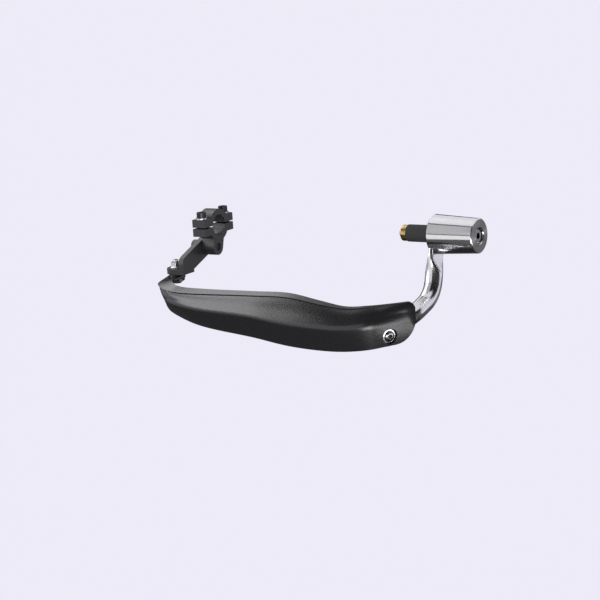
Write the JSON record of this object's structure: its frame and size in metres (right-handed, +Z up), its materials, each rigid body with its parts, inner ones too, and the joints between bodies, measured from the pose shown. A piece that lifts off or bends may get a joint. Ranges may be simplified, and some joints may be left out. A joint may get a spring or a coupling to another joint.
{
  "type": "motorcycle hand guard",
  "caption": "Left motorcycle hand guard: a creased black shell on a bent bright tube held by a conical bar-end weight and an inner bar clamp.",
  "frame": {"origin": "centre of the handlebar's end face, on the bar's axis, where the weight and the tube's eye bear on the bar", "axes": "+X outboard along the handlebar, -Y forward, +Z up, for the left side of the motorcycle"},
  "size_m": [0.3546, 0.1396, 0.1217],
  "materials": {
    "shell_plastic": "fine grained, matte",
    "bright_tube": "polished",
    "bright_weight": "polished, turned end face",
    "steel_fastener": "satin",
    "dark_fastener": "black oxide",
    "black_rubber": "matte",
    "brass_nut": "machined",
    "black_metal": "satin powder coat"
  },
  "bodies": {
    "root": {"guard_shell": "shell_plastic", "outer_sleeve": "steel_fastener", "inner_sleeve": "steel_fastener", "outer_guard_screw": "steel_fastener", "inner_guard_screw": "steel_fastener", "outer_damper": "black_rubber", "inner_damper": "black_rubber", "support_tube": "bright_tube", "outer_flange_nut": "steel_fastener", "inner_flange_nut": "steel_fastener", "bar_end_weight": "bright_weight", "bar_end_screw": "dark_fastener", "bar_end_washer": "steel_fastener", "expander_rubber": "black_rubber", "expander_cone_nut": "brass_nut", "mount_arm": "black_metal", "pivot_screw": "dark_fastener", "pivot_washer": "steel_fastener", "clamp_lower_half": "black_metal", "clamp_upper_half": "black_metal", "clamp_front_screw": "dark_fastener", "clamp_rear_screw": "dark_fastener", "clamp_screw_washers": "steel_fastener"}
  },
  "joints": []
}
